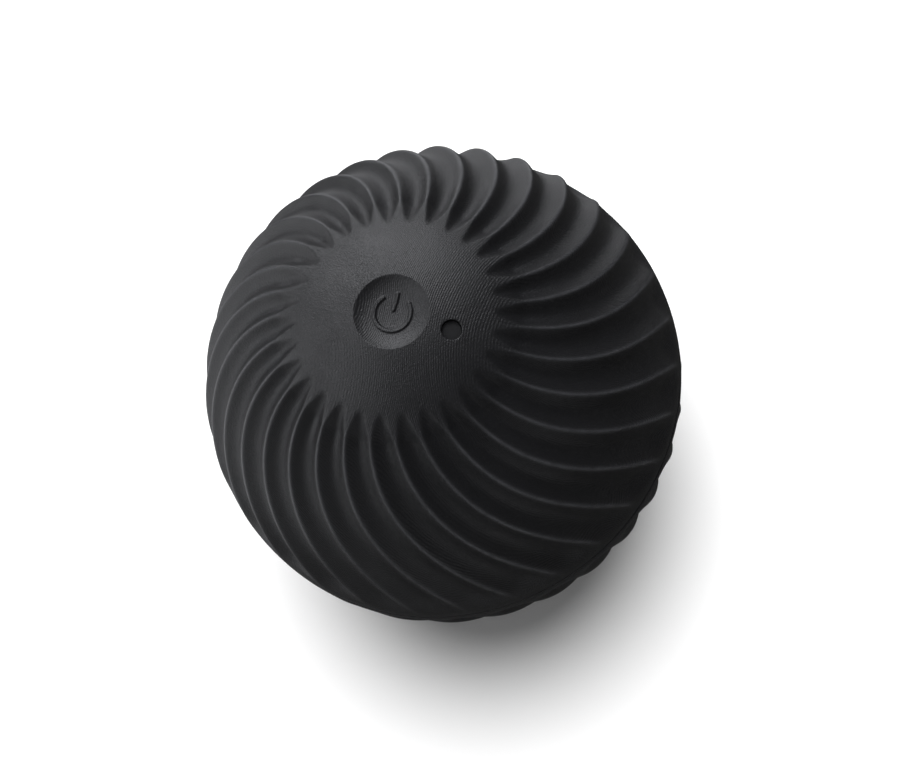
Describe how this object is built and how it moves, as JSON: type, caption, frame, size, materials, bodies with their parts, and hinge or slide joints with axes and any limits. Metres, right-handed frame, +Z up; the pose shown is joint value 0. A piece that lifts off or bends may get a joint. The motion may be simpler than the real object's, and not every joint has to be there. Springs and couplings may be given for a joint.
{
  "type": "massage ball",
  "caption": "Palm-sized vibrating massage ball with spiral-ribbed silicone covers, a finger-dish power button, an indicator window and a charging socket underneath.",
  "frame": {"origin": "middle of the small flat that the ball stands on, at the bottom", "axes": "+Z up from the flat through the ball's middle to the power button, +X from the button towards the indicator window, +Y towards the top of the power symbol"},
  "size_m": [0.08, 0.08, 0.0783],
  "materials": {
    "silicone_black": "soft matte with fine moulding lines",
    "shell_plastic": "fine spark texture",
    "white_plastic": "satin",
    "black_plastic": "satin",
    "window_plastic": "smoked, polished",
    "circuit_board": "solder mask",
    "steel": "turned",
    "motor_steel": "bright plated",
    "magnet": "sintered",
    "brass": "turned",
    "copper": "turned",
    "cell_wrap": "thin film",
    "foam": "open-cell foam",
    "seal_rubber": "matte",
    "lead_red": "insulation",
    "lead_black": "insulation"
  },
  "bodies": {
    "housing": {"battery_cell": "cell_wrap", "battery_connector": "white_plastic", "battery_lead_black": "lead_black", "battery_lead_red": "lead_red", "battery_pad": "foam", "battery_tray": "shell_plastic", "board_screw_1": "steel", "board_screw_2": "steel", "board_screw_3": "steel", "charge_connector": "white_plastic", "charge_lead_black": "lead_black", "charge_lead_red": "lead_red", "charger_chip": "black_plastic", "clamp_screw_1": "steel", "clamp_screw_2": "steel", "clamp_screw_3": "steel", "clamp_screw_4": "steel", "controller_chip": "black_plastic", "cradle_screw_1": "steel", "cradle_screw_2": "steel", "cradle_screw_3": "steel", "cradle_screw_4": "steel", "field_magnet_1": "magnet", "field_magnet_2": "magnet", "front_bush": "brass", "led_window": "window_plastic", "lower_cover": "silicone_black", "lower_shell": "shell_plastic", "main_board": "circuit_board", "motor_can": "motor_steel", "motor_clamp": "shell_plastic", "motor_connector": "white_plastic", "motor_cradle": "shell_plastic", "motor_end_cap": "white_plastic", "motor_lead_black": "lead_black", "motor_lead_red": "lead_red", "power_inductor": "magnet", "rear_bush": "brass", "seal_ring": "seal_rubber", "shell_screw_1": "steel", "shell_screw_2": "steel", "shell_screw_3": "steel", "shell_screw_4": "steel", "status_led": "white_plastic", "tact_switch_body": "black_plastic", "upper_cover": "silicone_black", "upper_shell": "shell_plastic", "usb_board": "circuit_board", "usb_socket_shell": "steel", "usb_socket_tongue": "black_plastic"},
    "power_button": {"button_pad": "silicone_black", "button_plunger": "white_plastic"},
    "switch_stem": {"tact_switch_stem": "white_plastic"},
    "rotor": {"rotor_core": "steel", "commutator": "copper", "motor_shaft": "steel", "eccentric_weight": "brass"}
  },
  "joints": [
    {"name": "power_button_press", "type": "slide", "parent": "housing", "child": "power_button", "axis": [0, 0, -1], "range_m": [0, 0.0004], "stiffness_N_per_m": 4000},
    {"name": "switch_stem_travel", "type": "slide", "parent": "housing", "child": "switch_stem", "axis": [0, 0, -1], "range_m": [0, 0.00025]},
    {"name": "motor_spin", "type": "hinge", "parent": "housing", "child": "rotor", "pos_m": [0, 0, 0.02973], "axis": [1, 0, 0], "continuous": true}
  ],
  "couplings": [
    {"joint": "switch_stem_travel", "follows": "power_button_press", "ratio": 0.6}
  ]
}
